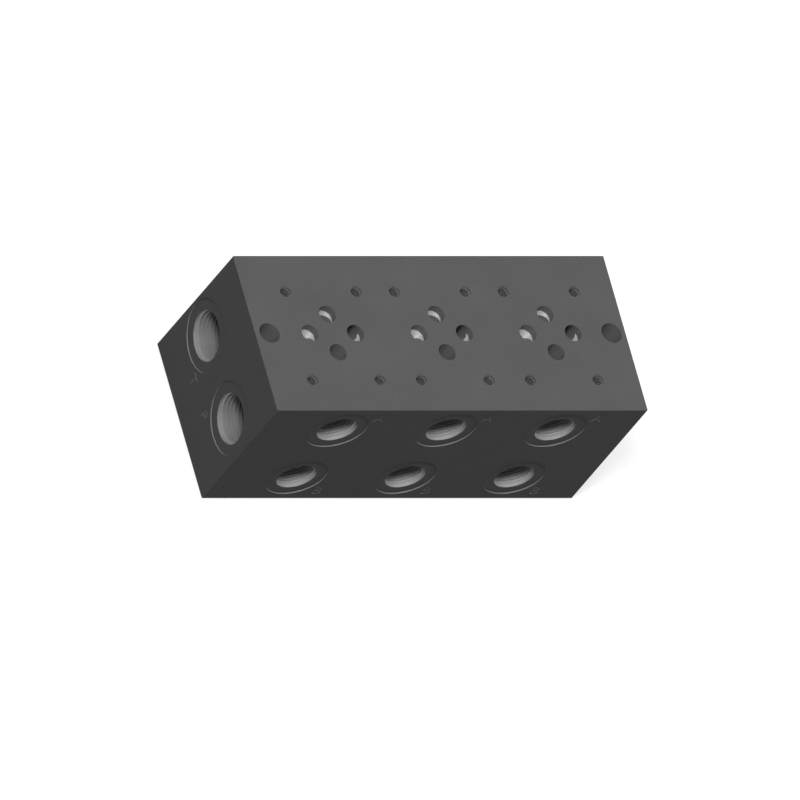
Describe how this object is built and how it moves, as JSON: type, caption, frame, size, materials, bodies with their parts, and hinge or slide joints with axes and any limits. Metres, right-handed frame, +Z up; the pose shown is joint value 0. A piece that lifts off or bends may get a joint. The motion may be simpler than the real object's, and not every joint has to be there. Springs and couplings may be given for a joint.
{
  "type": "hydraulic manifold block",
  "caption": "Parallel-circuit manifold bar for size 6 directional valves, with work ports in the front and P and T ports in the ends.",
  "frame": {"origin": "middle of the mounting face (the bottom)", "axes": "+X along the block from the left end, -Y towards the work ports in the front face, +Z up to the valve face"},
  "size_m": [0.17, 0.071, 0.07],
  "materials": {
    "block": "fine-milled ductile iron with a dark phosphate coating, satin"
  },
  "bodies": {
    "root": {"manifold_block": "block"}
  },
  "joints": []
}
